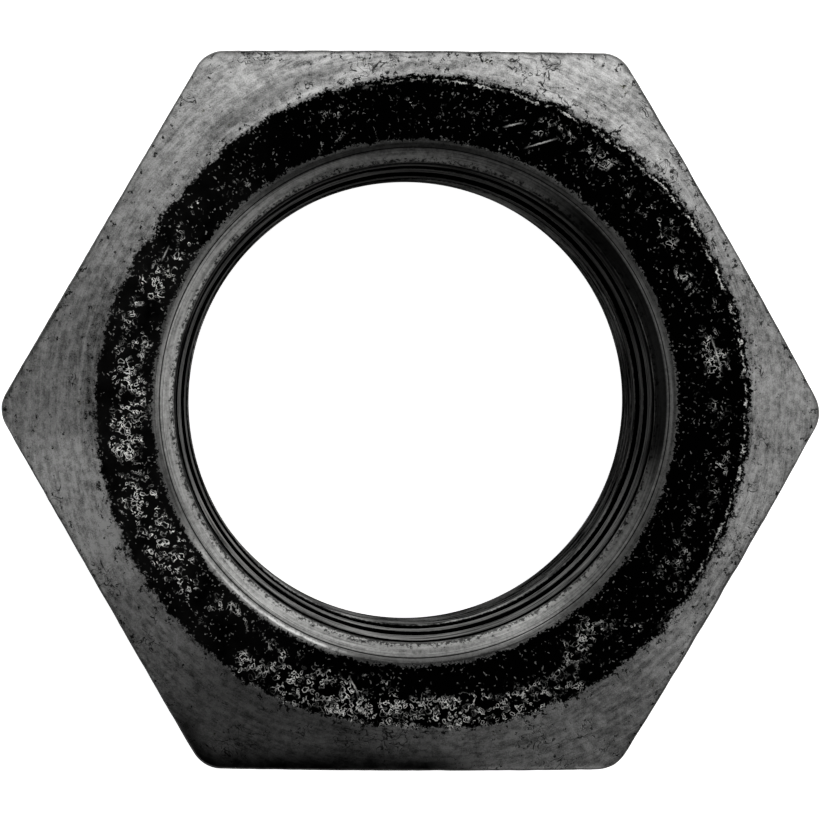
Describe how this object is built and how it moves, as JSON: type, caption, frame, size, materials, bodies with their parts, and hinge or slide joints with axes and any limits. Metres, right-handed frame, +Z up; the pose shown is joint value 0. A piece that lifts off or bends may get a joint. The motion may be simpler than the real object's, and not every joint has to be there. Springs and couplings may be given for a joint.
{
  "type": "hex nut",
  "caption": "Thin hexagon nut with chamfered corners, countersunk mouths and a fine metric internal thread.",
  "frame": {"origin": "centre of the hexagon on the lower bearing face, which rests on z = 0", "axes": "+Z up, parallel to the thread axis, towards the flared mouth; +X through a corner of the hexagon; +Y square to a wrench flat. The thread axis stands at x = 0.06 mm, y = 0.43 mm, because this nut has a little run-out."},
  "size_m": [0.041, 0.036, 0.012],
  "materials": {
    "blackened_steel": "dark mill scale on the bearing faces and flats, worn grey on the chamfers, bright machined countersink and thread"
  },
  "bodies": {
    "root": {"nut_body": "blackened_steel"}
  },
  "joints": []
}
